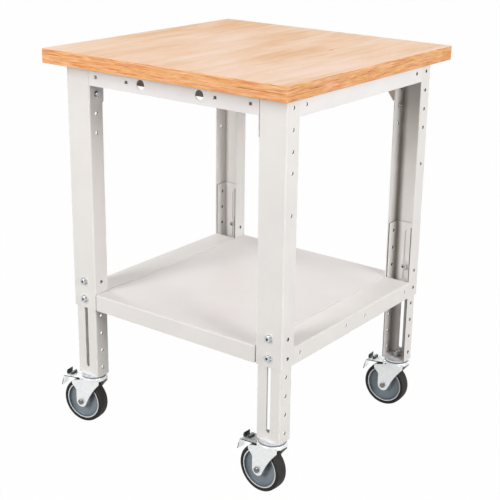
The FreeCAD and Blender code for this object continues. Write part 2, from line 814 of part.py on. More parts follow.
os.makedirs("parts", exist_ok=True)
for name, pieces in build().items():
    shape = pieces[0] if len(pieces) == 1 else Part.makeCompound(pieces)
    shape.exportStep(os.path.join("parts", name + ".step"))
print("bench height", bench_height)
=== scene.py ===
"""Looks of the mobile workbench: materials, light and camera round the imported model. Metres, +Z up."""
import json
import math

import bpy
from mathutils import Matrix, Vector


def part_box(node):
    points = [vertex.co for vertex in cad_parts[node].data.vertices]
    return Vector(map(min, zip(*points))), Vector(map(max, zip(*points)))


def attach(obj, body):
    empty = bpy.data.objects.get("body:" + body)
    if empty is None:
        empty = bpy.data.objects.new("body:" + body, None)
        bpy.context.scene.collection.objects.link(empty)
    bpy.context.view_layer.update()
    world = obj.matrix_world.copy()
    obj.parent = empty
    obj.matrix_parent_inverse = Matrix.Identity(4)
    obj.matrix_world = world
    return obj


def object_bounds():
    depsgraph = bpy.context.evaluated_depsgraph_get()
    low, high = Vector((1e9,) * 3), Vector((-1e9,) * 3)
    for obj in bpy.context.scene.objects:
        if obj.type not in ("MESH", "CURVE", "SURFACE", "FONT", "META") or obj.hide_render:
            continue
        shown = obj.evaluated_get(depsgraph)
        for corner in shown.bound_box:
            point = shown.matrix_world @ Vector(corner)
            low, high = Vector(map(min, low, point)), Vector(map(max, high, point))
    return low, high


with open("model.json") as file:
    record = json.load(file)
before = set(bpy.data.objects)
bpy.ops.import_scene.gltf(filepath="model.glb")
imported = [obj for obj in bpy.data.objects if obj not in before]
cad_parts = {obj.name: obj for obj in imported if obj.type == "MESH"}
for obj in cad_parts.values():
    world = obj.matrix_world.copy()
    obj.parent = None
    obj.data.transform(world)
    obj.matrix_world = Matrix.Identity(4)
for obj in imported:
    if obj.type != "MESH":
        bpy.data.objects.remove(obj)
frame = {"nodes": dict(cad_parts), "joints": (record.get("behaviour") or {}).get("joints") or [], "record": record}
cad_low, cad_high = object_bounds()
nodes = frame["nodes"]
scene = bpy.context.scene


def colour(red, green, blue):
    """Linear colour of an sRGB one given as 0 to 255."""
    linear = []
    for channel in (red, green, blue):
        share = channel / 255
        linear.append(share / 12.92 if share <= 0.04045 else ((share + 0.055) / 1.055) ** 2.4)
    return tuple(linear)


# Camera, in the part's frame
CAMERA_PLACE = (1.7295, -2.3046, 1.4969)
CAMERA_YAW = -35.659
CAMERA_PITCH = 18.040
CAMERA_ROLL = 1.154
CAMERA_LENS = 81.016
CAMERA_SENSOR = 36.0
CAMERA_SHIFT = (-0.0462, -0.0481)
CAMERA_REACH = 100.0

# Light
WORLD_STRENGTH = 0.24
WORLD_COLOUR = (1.0, 0.98, 0.955, 1.0)
BACKDROP_COLOUR = (1.0, 1.0, 1.0, 1.0)
LAMP_AIM = (0.0, 0.0, 0.6)
LAMP_SIZE = 1.6
LAMPS = {
    "front_lamp": ((-1.0, -4.3, 1.95), 94.0),
    "front_high_lamp": ((-1.0, -3.8, 3.2), 47.0),
    "right_lamp": ((4.3, -0.8, 1.95), 88.0),
    "right_rear_lamp": ((4.4, 0.7, 1.95), 37.0),
    "right_high_lamp": ((3.8, -0.8, 3.2), 24.0),
    "left_lamp": ((-4.3, 0.8, 1.95), 103.0),
    "back_lamp": ((0.0, 3.8, 3.0), 50.0),
    "top_lamp": ((0.0, 0.0, 4.8), 34.0),
}

# Floor, just under the wheels when the legs are at their longest, so that no pose sinks into it
FLOOR_GAP = 0.0005
FLOOR_LEVEL = min(joint["range_m"][0] for joint in frame["joints"] if joint["type"] == "slide") - FLOOR_GAP
FLOOR_SIZE = 40.0
FLOOR_GREY = (0.30, 0.285, 0.265, 1.0)
FLOOR_GLOW = 0.99

# Legs: the four are mirror images, so the rear right one gives the sizes of all
SHEET = 0.0025
outer_low, outer_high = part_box("outer_leg_rear_right")
inner_low, inner_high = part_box("inner_leg_rear_right")
LEG_CENTRE = (outer_low[0] + outer_high[0]) / 2
OUTER_CREASE = (outer_low[0] + SHEET, outer_high[1] - SHEET)
INNER_CREASE = (inner_low[0] + SHEET, inner_high[1] - SHEET)
CREASE_MARGIN = 0.001
CREASE_START = 0.002
CREASE_REACH = 0.018
CREASE_SHADE = 0.6
SEAM_WIDTH = 0.0018
SEAM_START = (inner_high[0] - inner_low[0]) / 2 - SEAM_WIDTH
EDGE_SKIN = 0.0004
END_SKIN = 0.00075

# Holes and clamps in the legs and rails: the rows' Y, and the height of one hole in each
HOLE_PITCH = 0.05
HOLE_RADIUS = 0.0045
HOLE_ROW = (outer_low[1] + outer_high[1]) / 2
TOP_LEVEL = outer_high[2] - HOLE_PITCH / 2
CLAMP_LEVEL = outer_low[2] + HOLE_PITCH / 2
CLAMP_WASHER_RADIUS = 0.0125
OUTER_HOLES = ((HOLE_ROW, TOP_LEVEL), (HOLE_ROW, CLAMP_LEVEL))
INNER_HOLES = ((HOLE_ROW, inner_low[2] + HOLE_PITCH / 2),)
RAIL_HOLES = ((HOLE_ROW - HOLE_PITCH, TOP_LEVEL),)

# Aprons: where the rear one's gussets leave the legs, and where the front one is hollow
GUSSET_EDGE_Y = outer_low[1]
HOLLOW_EDGE_Y = -0.30

# Return folds at the ends of the shelf's front and rear flanges: across, along and up
shelf_low, shelf_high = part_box("shelf")
RETURN_INSET = 0.0023
RETURN_SKIN = 0.0004
RETURN_LIFT = 0.001
RETURN_DROP = 0.002
RETURN_X = (shelf_high[0] - RETURN_INSET - SHEET, shelf_high[0] - RETURN_INSET)
RETURN_Y = (outer_low[1] - SHEET, shelf_high[1] - RETURN_SKIN)
RETURN_Z = (shelf_low[2] + RETURN_LIFT, shelf_high[2] - RETURN_DROP)

# Tabs under the rear apron's gussets, and the bolts that hold them to the legs' third hole
rear_apron_low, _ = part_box("rear_apron")
TAB_HALF_WIDTH = 0.012
TAB_HEIGHT = 0.031
TAB_X = (outer_low[0] - SHEET, outer_low[0])
TAB_Y = (HOLE_ROW - TAB_HALF_WIDTH, HOLE_ROW + TAB_HALF_WIDTH)
TAB_Z = (rear_apron_low[2] - TAB_HEIGHT, rear_apron_low[2])
TAB_BOLT = (HOLE_ROW, TOP_LEVEL - 2 * HOLE_PITCH)
BOLT_HEAD_HEIGHT = 0.0045
BOLT_WASHER_HEIGHT = 0.0015
BOLT_NUT_HEIGHT = 0.0065
BOLT_SHANK_END = 0.003
BOLT_WASHER_X = (TAB_X[0] - BOLT_WASHER_HEIGHT, TAB_X[0])
BOLT_HEAD_X = (BOLT_WASHER_X[0] - BOLT_HEAD_HEIGHT, BOLT_WASHER_X[0])
BOLT_NUT_X = (outer_low[0] + SHEET, outer_low[0] + SHEET + BOLT_NUT_HEIGHT)
BOLT_SHANK_X = (BOLT_WASHER_X[0], BOLT_NUT_X[1] + BOLT_SHANK_END)
BOLT_SHANK_RADIUS = 0.004
BOLT_WASHER_RADIUS = 0.009
BOLT_HEX_RADIUS = 0.0075
HEX_SIDES = 6
WASHER_SIDES = 32
SHANK_SIDES = 24

# Casters: turn of each at rest in degrees, wheel size, levels on stem and pedal, and the strength of the painted
# light inside the lip
CASTER_TURN = {"front_right": -3.0, "front_left": 8.0, "rear_right": 3.0, "rear_left": 0.0}
WHEEL_RADIUS = 0.0625
RACE_RIM = 0.0034
RACE_GROOVE_TOP = inner_low[2] - RACE_RIM
PEDAL_PLATE_LEVEL = 0.1262
PEDAL_TIP_LEVEL = 0.1165
LIP_LIGHT = 0.5

# Worktop: ply, an open glue line near one corner, a knot, and patches by their middle and size
PLY_THICKNESS = 0.00285
GLUE_LINE_DEPTH = 0.0185
GLUE_LINE_LEVEL = cad_high[2] - GLUE_LINE_DEPTH
GLUE_LINE_REACH = 0.155
GLUE_LINE_HALF = 0.0008
GLUE_LINE_BLUR = 0.0004
KNOT_PLACE = (0.178, 0.096, cad_high[2])
KNOT_SIZE = (0.006, 0.014, 0.02)
PATCH_DEPTH = 1.0
PATCH_WEIGHT = 0.06
WARM_PATCHES = (
    ((0.154, 0.288), (0.07, 0.12)),
    ((0.141, -0.067), (0.10, 0.16)),
    ((-0.067, -0.208), (0.10, 0.08)),
)
PALE_PATCHES = (
    ((-0.134, 0.054), (0.12, 0.16)),
    ((0.301, -0.04), (0.08, 0.30)),
    ((-0.268, -0.295), (0.13, 0.09)),
)

# Noises: cells per metre, with one number per axis for the wood's grain, and two grades of detail
BROAD_GRAIN = (5.0, 2.2, 5.0)
BAND_GRAIN = (15.0, 3.0, 15.0)
STREAK_GRAIN = (60.0, 6.0, 60.0)
PORE_GRAIN = (900.0, 60.0, 900.0)
PLY_GRAIN = (20.0, 20.0, 330.0)
TINT_GRAIN = (8.0, 8.0, 130.0)
VEIN_GRAIN = (13.0, 13.0, 420.0)
GLUE_BREAKS = 70.0
COAT_CLOUD = 9.0
COAT_PEEL = 900.0
SPANGLE = 160.0
PLASTIC_CLOUD = 60.0
LEVER_CLOUD = 90.0
BUSH_PEEL = 900.0
HUB_PEEL = 1200.0
TYRE_PEEL = 700.0
CLOUD_DETAIL = 4.0
FINE_DETAIL = 2.0

# Usual range of a noise, and how far the roughness of plating goes to each side of its middle
NOISE_LOW = 0.3
NOISE_HIGH = 0.7
ROUGH_SPREAD = 0.06

# Strength and depth of the bumps
WOOD_BUMP = (0.12, 0.0004)
COAT_BUMP = (0.10, 0.0004)
MOULD_BUMP = (0.15, 0.0003)

# Blur of the edges between tones, in metres
FINE_BLUR = 0.0002
END_BLUR = 0.00025
SHORT_BLUR = 0.0005
LONG_BLUR = 0.001

# How far a normal has to turn to one side for a face to count as facing there, and the blur of that
FACING_EDGE = 0.7
FACING_BLUR = 0.1

# Weights of the face's grain, and cover of the wood's marks: two values and the cover at each
BROAD_WEIGHT = 0.35
BAND_WEIGHT = 0.35
STREAK_WEIGHT = 0.3
PORE_COVER = (0.58, 0.74, 0.0, 0.35)
VEIN_COVER = (0.57, 0.68, 0.0, 0.6)
LAYER_COVER = (0.0, 0.3, 0.35, 0.0)
GLUE_COVER = (0.35, 0.55, 0.35, 1.0)

# Tones of the wood: ramps of places and tones, and single tones
FACE_TONES = [(0.38, colour(217, 175, 137)), (0.50, colour(227, 195, 168)), (0.62, colour(232, 207, 190))]
RED_TONES = [(0.28, colour(215, 128, 73)), (0.48, colour(236, 169, 122)), (0.70, colour(247, 198, 159))]
YELLOW_TONES = [(0.28, colour(215, 138, 67)), (0.48, colour(238, 178, 116)), (0.70, colour(249, 205, 151))]
STAIN_TONES = [(0.5, colour(186, 96, 48)), (0.65, colour(104, 52, 32))]
PORE_TONE = colour(205, 150, 104)
KNOT_TONE = colour(196, 146, 104)
VEIN_TONE = colour(190, 98, 54)
LAYER_TONE = colour(172, 98, 50)
X_EDGE_TINT = (0.926, 0.96, 1.0)

# Strength of the glue line along its reach, as a ramp
GLUE_STRENGTH = [(0.0, 0.25), (0.1, 0.5), (0.55, 0.55), (0.7, 1.0), (0.78, 1.0), (1.0, 0.0)]

# Tones of the coat, darkest and lightest; a lighter, cooler copy of them that paints light on the aprons and top
# rails; and tones of painted shade on it
COAT_TONES = (colour(228, 225, 223), colour(233, 231, 228))
LIT_UPPER_TONES = (colour(231, 229, 230), colour(236, 235, 235))
HOLE_SHADE_TONE = colour(52, 50, 48)
CREASE_TONE = colour(116, 103, 91)
SEAM_SHADE_TONE = colour(36, 34, 32)
INNER_END_TONE = colour(138, 129, 121)
HOLLOW_TONE = colour(150, 143, 136)
GUSSET_TONE = colour(160, 144, 134)
SHELF_SHADE = (0.93, 0.915, 0.93)

# Tones of metal, plastic and rubber, with painted shade and light on stems, clamps, pedals, levers and hubs; on
# hubs and clamps they go outwards from the middle
ZINC_TONES = (colour(228, 231, 232), colour(240, 242, 242))
AXLE_TONES = (colour(100, 101, 104), colour(134, 135, 137))
FASTENER_TONES = (colour(150, 152, 154), colour(196, 198, 199))
STEM_TONES = (colour(206, 211, 219), colour(228, 231, 236))
STEM_GROOVE_SHADE_TONE = colour(70, 72, 80)
STEM_NUT_TONES = (colour(140, 141, 142), colour(184, 185, 186))
NUT_COAT_TONES = (colour(222, 219, 216), colour(230, 227, 224))
NUT_ZINC_TONES = (colour(120, 122, 124), colour(168, 170, 172))
CLAMP_TONES_AND_SHADE = [
    (0.22, colour(34, 36, 40)),
    (0.32, colour(196, 199, 203)),
    (0.64, colour(208, 210, 213)),
    (0.70, colour(150, 153, 157)),
    (0.76, colour(226, 225, 223)),
]
PEDAL_TONES = (colour(218, 220, 222), colour(232, 233, 234))
PEDAL_EDGE_SHADE_TONE = colour(40, 42, 45)
LIP_TIP_SHADE_TONE = colour(110, 113, 116)
LIP_OUTER_SHADE_TONE = colour(190, 192, 195)
LIP_INNER_LIGHT_TONE = colour(248, 249, 250)
BUSH_TONES = (colour(196, 196, 190), colour(210, 210, 204))
LEVER_TONES = (colour(20, 21, 23), colour(34, 35, 37))
LEVER_SHEEN_TONES = (colour(140, 144, 147), colour(176, 179, 181))
HUB_TONES_LIGHT_AND_SHADE = [
    (0.27, colour(150, 159, 165)),
    (0.32, colour(126, 137, 145)),
    (0.64, colour(120, 132, 141)),
    (0.72, colour(104, 115, 124)),
]
HUB_MOTTLE = (0.90, 1.0)
RIM_HIGHLIGHT_TONE = colour(226, 229, 231)
WALL_TONES = (colour(22, 21, 22), colour(32, 31, 32))
TREAD_TONES = (colour(38, 35, 35), colour(54, 50, 49))


# Node helpers

class Shader:
    """A node material under construction, with short calls for the nodes that the finishes use."""

    def __init__(self, name):
        self.material = bpy.data.materials.new(name)
        self.material.use_nodes = True
        self.tree = self.material.node_tree
        self.tree.nodes.clear()
        output = self.tree.nodes.new("ShaderNodeOutputMaterial")
        self.surface = self.tree.nodes.new("ShaderNodeBsdfPrincipled")
        self.link(self.surface.outputs["BSDF"], output.inputs["Surface"])
        coordinates = self.tree.nodes.new("ShaderNodeTexCoord")
        self.place = coordinates.outputs["Object"]
        self.place_x, self.place_y, self.place_z = self.split(self.place)
        self.facing_x, self.facing_y, self.facing_z = self.split(coordinates.outputs["Normal"])

    def link(self, source, target):
        self.tree.links.new(source, target)

    def set(self, socket, value):
        """Give a socket a constant or a link."""
        if isinstance(value, bpy.types.NodeSocket):
            self.link(value, socket)
        else:
            socket.default_value = value

    def split(self, vector):
        """The three parts of a vector."""
        node = self.tree.nodes.new("ShaderNodeSeparateXYZ")
        self.link(vector, node.inputs[0])
        return node.outputs["X"], node.outputs["Y"], node.outputs["Z"]

    def stretch(self, scale):
        """Object coordinates, scaled per axis."""
        node = self.tree.nodes.new("ShaderNodeMapping")
        node.inputs["Scale"].default_value = scale
        self.link(self.place, node.inputs["Vector"])
        return node.outputs["Vector"]

    def about(self, centre, turn, size):
        """Object coordinates about a centre, turned about Z by degrees and divided by a size per axis."""
        node = self.tree.nodes.new("ShaderNodeMapping")
        node.vector_type = "TEXTURE"
        node.inputs["Location"].default_value = centre
        node.inputs["Rotation"].default_value = (0.0, 0.0, math.radians(turn))
        node.inputs["Scale"].default_value = size
        self.link(self.place, node.inputs["Vector"])
        return node.outputs["Vector"]

    def maths(self, operation, first, second=0.0):
        node = self.tree.nodes.new("ShaderNodeMath")
        node.operation = operation
        self.set(node.inputs[0], first)
        self.set(node.inputs[1], second)
        return node.outputs[0]

    def absolute(self, value):
        return self.maths("ABSOLUTE", value)

    def times(self, first, second):
        return self.maths("MULTIPLY", first, second)

    def minus(self, first, second):
        return self.maths("SUBTRACT", first, second)

    def total(self, weighted):
        """Sum of values, each times its weight."""
        first, *others = [self.times(value, weight) for value, weight in weighted]
        for other in others:
            first = self.maths("ADD", first, other)
        return first

    def distance(self, first, second):
        """Length of a vector that has these two parts."""
        squares = self.maths("ADD", self.times(first, first), self.times(second, second))
        return self.maths("SQRT", squares)

    def length(self, vector):
        node = self.tree.nodes.new("ShaderNodeVectorMath")
        node.operation = "LENGTH"
        self.link(vector, node.inputs[0])
        return node.outputs["Value"]

    def from_axle(self, centre, turn, unit):
        """Distance from a level axle through a centre, in units."""
        node = self.tree.nodes.new("ShaderNodeVectorMath")
        node.operation = "MULTIPLY"
        node.inputs[1].default_value = (1.0, 0.0, 1.0)
        self.link(self.about(centre, turn, (unit, unit, unit)), node.inputs[0])
        return self.length(node.outputs["Vector"])

    def from_row(self, across, middle, level, unit):
        """Distance from the nearest of a row of level axes, one hole pitch apart in height, in units."""
        aside = self.minus(self.absolute(across), middle)
        above = self.maths("PINGPONG", self.minus(self.place_z, level), HOLE_PITCH / 2)
        return self.maths("DIVIDE", self.distance(aside, above), unit)

    def spread(self, value, low, high, new_low, new_high):
        """A range of values brought to another range, and held at its ends."""
        node = self.tree.nodes.new("ShaderNodeMapRange")
        node.inputs["From Min"].default_value = low
        node.inputs["From Max"].default_value = high
        node.inputs["To Min"].default_value = new_low
        node.inputs["To Max"].default_value = new_high
        self.link(value, node.inputs["Value"])
        return node.outputs["Result"]

    def above(self, value, edge, blur):
        """1 over an edge and 0 under it, with a blur to both sides."""
        return self.spread(value, edge - blur, edge + blur, 0.0, 1.0)

    def below(self, value, edge, blur):
        """1 under an edge and 0 over it, with a blur to both sides."""
        return self.spread(value, edge - blur, edge + blur, 1.0, 0.0)

    def faces(self, part, edge=FACING_EDGE, blur=FACING_BLUR):
        """1 where one part of the normal is large, and 0 where it is small."""
        return self.above(part, edge, blur)

    def blob(self, centre, size):
        """1 near a centre, falling to 0 on the ellipsoid of a size round it."""
        return self.below(self.length(self.about(centre, 0.0, size)), edge=0.6, blur=0.4)

    def noise(self, fineness, detail=3.0, roughness=0.5, distortion=0.0):
        """Noise in the object's own space, with one fineness or one per axis."""
        even = isinstance(fineness, float)
        node = self.tree.nodes.new("ShaderNodeTexNoise")
        node.inputs["Scale"].default_value = fineness if even else 1.0
        node.inputs["Detail"].default_value = detail
        node.inputs["Roughness"].default_value = roughness
        node.inputs["Distortion"].default_value = distortion
        self.link(self.place if even else self.stretch(fineness), node.inputs["Vector"])
        return node.outputs["Fac"]

    def ramp(self, value, stops):
        """Colour ramp through (place, colour or grey) stops."""
        node = self.tree.nodes.new("ShaderNodeValToRGB")
        elements = node.color_ramp.elements
        while len(elements) < len(stops):
            elements.new(0.5)
        for element, (place, tone) in zip(elements, stops):
            element.position = place
            grey = isinstance(tone, (int, float))
            element.color = (tone, tone, tone, 1.0) if grey else (*tone, 1.0)
        self.link(value, node.inputs["Fac"])
        return node.outputs["Color"]

    def mottle(self, noise, tones):
        """A noise as a blend of a dark and a light tone."""
        dark, light = tones
        return self.ramp(noise, [(NOISE_LOW, dark), (NOISE_HIGH, light)])

    def vary(self, noise, low, high):
        """A noise as a number between two others."""
        return self.spread(noise, NOISE_LOW, NOISE_HIGH, low, high)

    def mix(self, amount, first, second, blend="MIX"):
        node = self.tree.nodes.new("ShaderNodeMix")
        node.data_type = "RGBA"
        node.blend_type = blend
        self.set(node.inputs["Factor"], amount)
        self.set(node.inputs[6], first)
        self.set(node.inputs[7], second)
        return node.outputs[2]

    def cover(self, amount, base, tone, blend="MIX"):
        """A base with one plain tone over it."""
        return self.mix(amount, base, (*tone, 1.0), blend)

    def bump(self, height, strength, distance):
        node = self.tree.nodes.new("ShaderNodeBump")
        node.inputs["Strength"].default_value = strength
        node.inputs["Distance"].default_value = distance
        self.link(height, node.inputs["Height"])
        return node.outputs["Normal"]

    def peel(self, fineness, strength, depth):
        """Fine bumps, like the skin of an orange."""
        return self.bump(self.noise(fineness, FINE_DETAIL), strength, depth)

    def finish(self, **inputs):
        """Set the surface's sockets, with underscores for the spaces in their names."""
        for name, value in inputs.items():
            self.set(self.surface.inputs[name.replace("_", " ")], value)
        return self.material


# Powder coat

class Coat(Shader):
    """Light grey powder coat under construction: faint mottling and a fine orange peel."""

    def __init__(self, name, tones=COAT_TONES):
        super().__init__(name)
        self.cloud = self.noise(COAT_CLOUD, CLOUD_DETAIL)
        self.base = self.mottle(self.cloud, tones)
        self.aside = self.absolute(self.place_x)
        self.along = self.absolute(self.place_y)

    def shade(self, amount, tone, blend="MIX"):
        self.base = self.cover(amount, self.base, tone, blend)

    def shade_holes(self, rows):
        """Painted shade on the walls of the holes along X, in rows given by their Y and the height of one hole."""
        wall = self.below(self.absolute(self.facing_x), edge=0.4, blur=FACING_BLUR)
        for row, level in rows:
            off_axis = self.from_row(self.place_y, row, level, HOLE_RADIUS)
            near = self.below(off_axis, edge=1.1, blur=0.05)
            self.shade(self.times(near, wall), HOLE_SHADE_TONE)

    def shade_crease(self, corner):
        """Shade in a channel's inside corner beside its inner flange, given by its X and Y."""
        from_x = self.minus(self.aside, corner[0])
        from_y = self.minus(self.along, corner[1])
        depth = self.spread(self.distance(from_x, from_y), CREASE_START, CREASE_REACH, CREASE_SHADE, 0.0)
        inside_x = self.above(from_x, edge=-CREASE_MARGIN, blur=SHORT_BLUR)
        inside_y = self.below(from_y, edge=CREASE_MARGIN, blur=SHORT_BLUR)
        self.shade(self.times(depth, self.times(inside_x, inside_y)), CREASE_TONE)

    def done(self):
        return self.finish(Base_Color=self.base, Roughness=self.vary(self.cloud, 0.40, 0.48),
                           Specular_IOR_Level=0.3, Normal=self.peel(COAT_PEEL, *COAT_BUMP))


def make_outer_leg():
    """Outer leg with painted shade on its hole walls and in its inside corner."""
    look = Coat("outer_leg_finish")
    look.shade_holes(OUTER_HOLES)
    look.shade_crease(OUTER_CREASE)
    return look.done()


def make_inner_leg():
    """Inner leg: painted shade on its hole walls and in its inside corner, seams of painted shade along the outer
    part of its flange edges, and a shaded upper end.
    """
    look = Coat("inner_leg_finish")
    look.shade_holes(INNER_HOLES)
    look.shade_crease(INNER_CREASE)
    # Seams of painted shade, for the shadow in the gap to the outer leg
    edge = look.below(look.along, edge=inner_low[1] + EDGE_SKIN, blur=FINE_BLUR)
    off_centre = look.absolute(look.minus(look.aside, LEG_CENTRE))
    outer_part = look.above(off_centre, edge=SEAM_START, blur=FINE_BLUR)
    look.shade(look.times(edge, outer_part), SEAM_SHADE_TONE)
    at_top = look.above(look.place_z, edge=inner_high[2] - END_SKIN, blur=END_BLUR)
    look.shade(look.times(look.faces(look.facing_z), at_top), INNER_END_TONE)
    return look.done()


def make_top_rail():
    """Top rail in the lighter coat, as painted light, with painted shade on its hole walls."""
    look = Coat("top_rail_finish", LIT_UPPER_TONES)
    look.shade_holes(RAIL_HOLES)
    return look.done()


def make_front_apron():
    """Front apron in the lighter coat, as painted light, with painted shade in the hollow behind its cable holes.
    """
    look = Coat("front_apron_finish", LIT_UPPER_TONES)
    forward = look.below(look.facing_y, edge=-0.6, blur=FACING_BLUR)
    behind = look.above(look.place_y, edge=HOLLOW_EDGE_Y + SHORT_BLUR, blur=SHORT_BLUR)
    look.shade(look.times(forward, behind), HOLLOW_TONE)
    return look.done()


def make_rear_apron():
    """Rear apron in the lighter coat, as painted light, with painted shade on its gussets under the top rails."""
    look = Coat("rear_apron_finish", LIT_UPPER_TONES)
    outward = look.above(look.times(look.facing_x, look.place_x), edge=0.15, blur=0.05)
    free = look.below(look.place_y, edge=GUSSET_EDGE_Y - SHORT_BLUR, blur=SHORT_BLUR)
    look.shade(look.times(outward, free), GUSSET_TONE)
    return look.done()


def make_shelf():
    """Shelf with painted shade: a slightly darker upper face."""
    look = Coat("shelf_finish")
    look.shade(look.faces(look.facing_z), SHELF_SHADE, "MULTIPLY")
    return look.done()


# Wood

def beech_face(look, pore):
    """Colour of a pale face, streaked along Y, with broad patches, fine pores and a knot."""
    broad = look.noise(BROAD_GRAIN, roughness=0.55, distortion=0.6)
    band = look.noise(BAND_GRAIN, roughness=0.55, distortion=0.4)
    streak = look.noise(STREAK_GRAIN, roughness=0.6)
    weighted = [(broad, BROAD_WEIGHT), (band, BAND_WEIGHT), (streak, STREAK_WEIGHT)]
    for weight, patches in ((-PATCH_WEIGHT, WARM_PATCHES), (PATCH_WEIGHT, PALE_PATCHES)):
        for middle, size in patches:
            weighted.append((look.blob((*middle, cad_high[2]), (*size, PATCH_DEPTH)), weight))
    face = look.ramp(look.total(weighted), FACE_TONES)
    face = look.cover(look.spread(pore, *PORE_COVER), face, PORE_TONE)
    return look.cover(look.blob(KNOT_PLACE, KNOT_SIZE), face, KNOT_TONE)


def beech_edge(look, plies):
    """Colour of an edge: thin uneven plies, red and yellow, with dark veins and lines between layers."""
    tint = look.above(look.noise(TINT_GRAIN, FINE_DETAIL), edge=0.5, blur=0.12)
    edge = look.mix(tint, look.ramp(plies, RED_TONES), look.ramp(plies, YELLOW_TONES))
    vein = look.noise(VEIN_GRAIN, FINE_DETAIL, roughness=0.6)
    edge = look.cover(look.spread(vein, *VEIN_COVER), edge, VEIN_TONE)
    layer = look.maths("PINGPONG", look.times(look.place_z, 2.0 / PLY_THICKNESS), 1.0)
    edge = look.cover(look.spread(layer, *LAYER_COVER), edge, LAYER_TONE)
    # Edges that face X are a little darker and less red than those that face Y
    side = look.faces(look.absolute(look.facing_x))
    return look.cover(side, edge, X_EDGE_TINT, "MULTIPLY")


def open_glue_line(look, edge):
    """An edge with one broken, stained line that starts at the front right corner."""
    off_line = look.absolute(look.minus(look.place_z, GLUE_LINE_LEVEL))
    from_corner = look.minus(look.maths("ADD", look.place_y, cad_high[0] - cad_low[1]), look.place_x)
    share = look.maths("DIVIDE", from_corner, GLUE_LINE_REACH)
    broken = look.spread(look.noise(GLUE_BREAKS), *GLUE_COVER)
    strength = look.times(look.ramp(share, GLUE_STRENGTH), broken)
    line = look.times(look.below(off_line, edge=GLUE_LINE_HALF, blur=GLUE_LINE_BLUR), strength)
    return look.mix(line, edge, look.ramp(share, STAIN_TONES))


def make_beech():
    """Beech multiplex, with its own look on faces and edges."""
    look = Shader("beech_plywood_finish")
    pore = look.noise(PORE_GRAIN, FINE_DETAIL)
    plies = look.noise(PLY_GRAIN, roughness=0.65)
    flat = look.faces(look.absolute(look.facing_z))
    edge = open_glue_line(look, beech_edge(look, plies))
    relief = look.mix(flat, plies, pore)
    return look.finish(Base_Color=look.mix(flat, edge, beech_face(look, pore)),
                       Roughness=look.vary(pore, 0.55, 0.68), Specular_IOR_Level=0.12,
                       Normal=look.bump(relief, *WOOD_BUMP))


# Metal

def make_zinc(name, tones, metal, rough):
    """Metal plating with a faint spangle."""
    look = Shader(name)
    spangle = look.noise(SPANGLE)
    return look.finish(Base_Color=look.mottle(spangle, tones), Metallic=metal,
                       Roughness=look.vary(spangle, rough - ROUGH_SPREAD, rough + ROUGH_SPREAD))


def make_stem():
    """Bright caster stem with painted shade from the groove under its race downwards."""
    look = Shader("stem_finish")
    spangle = look.noise(SPANGLE)
    groove = look.below(look.place_z, edge=RACE_GROOVE_TOP - FINE_BLUR / 2, blur=FINE_BLUR)
    base = look.cover(groove, look.mottle(spangle, STEM_TONES), STEM_GROOVE_SHADE_TONE)
    return look.finish(Base_Color=base, Metallic=1.0, Roughness=look.vary(spangle, 0.14, 0.26))


def make_clamp():
    """Clamp bolts: a pale washer, a bright head with a ring of painted shade round it, and a socket drawn as a
    dark spot of painted shade in its middle.
    """
    look = Shader("clamp_finish")
    share = look.from_row(look.place_x, LEG_CENTRE, CLAMP_LEVEL, CLAMP_WASHER_RADIUS)
    return look.finish(Base_Color=look.ramp(share, CLAMP_TONES_AND_SHADE), Metallic=0.45,
                       Roughness=look.vary(look.noise(SPANGLE), 0.24, 0.34))


def make_clamp_nut():
    """Clamp nuts: zinc round the bolt, coated like the leg farther out."""
    look = Shader("clamp_nut_finish")
    share = look.from_row(look.place_x, LEG_CENTRE, CLAMP_LEVEL, CLAMP_WASHER_RADIUS)
    bare = look.below(share, edge=0.53, blur=0.03)
    spangle = look.noise(SPANGLE)
    base = look.mix(bare, look.mottle(spangle, NUT_COAT_TONES), look.mottle(spangle, NUT_ZINC_TONES))
    return look.finish(Base_Color=base, Metallic=bare, Roughness=look.vary(spangle, 0.36, 0.46))


def make_pedal():
    """Satin zinc with painted shade along the plate's edges, the lip's lower edge and the lip's outer face, and
    painted light inside the lip: a pale colour and a faint glow.
    """
    look = Shader("pedal_finish")
    spangle = look.noise(SPANGLE)
    sheared = look.faces(look.absolute(look.facing_y), edge=0.8)
    # Painted shade along the plate's edges and the lip's lower edge
    plate_edge = look.times(sheared, look.above(look.place_z, edge=PEDAL_PLATE_LEVEL, blur=LONG_BLUR))
    tip_edge = look.times(sheared, look.below(look.place_z, edge=PEDAL_TIP_LEVEL, blur=LONG_BLUR))
    lip_edge = look.minus(sheared, plate_edge)
    # Painted shade on the lip's outer face
    outside = look.below(look.facing_x, edge=-0.55, blur=0.15)
    # Painted light on the lip's inner face, as a pale colour and a faint glow
    downward = look.below(look.facing_z, edge=-0.15, blur=0.05)
    inside = look.times(look.faces(look.facing_x, edge=0.55, blur=0.15), downward)
    base = look.cover(plate_edge, look.mottle(spangle, PEDAL_TONES), PEDAL_EDGE_SHADE_TONE)
    base = look.cover(tip_edge, base, LIP_TIP_SHADE_TONE)
    base = look.cover(outside, base, LIP_OUTER_SHADE_TONE)
    base = look.cover(inside, base, LIP_INNER_LIGHT_TONE)
    return look.finish(Base_Color=base, Metallic=look.spread(lip_edge, 0.0, 1.0, 0.9, 0.2),
                       Roughness=look.vary(spangle, 0.55, 0.67),
                       Emission_Color=base, Emission_Strength=look.times(inside, LIP_LIGHT))


# Plastic and rubber

def make_bush():
    """Pale moulded bush."""
    look = Shader("bush_finish")
    cloud = look.noise(PLASTIC_CLOUD, CLOUD_DETAIL)
    return look.finish(Base_Color=look.mottle(cloud, BUSH_TONES), Roughness=look.vary(cloud, 0.39, 0.51),
                       Normal=look.peel(BUSH_PEEL, *MOULD_BUMP))


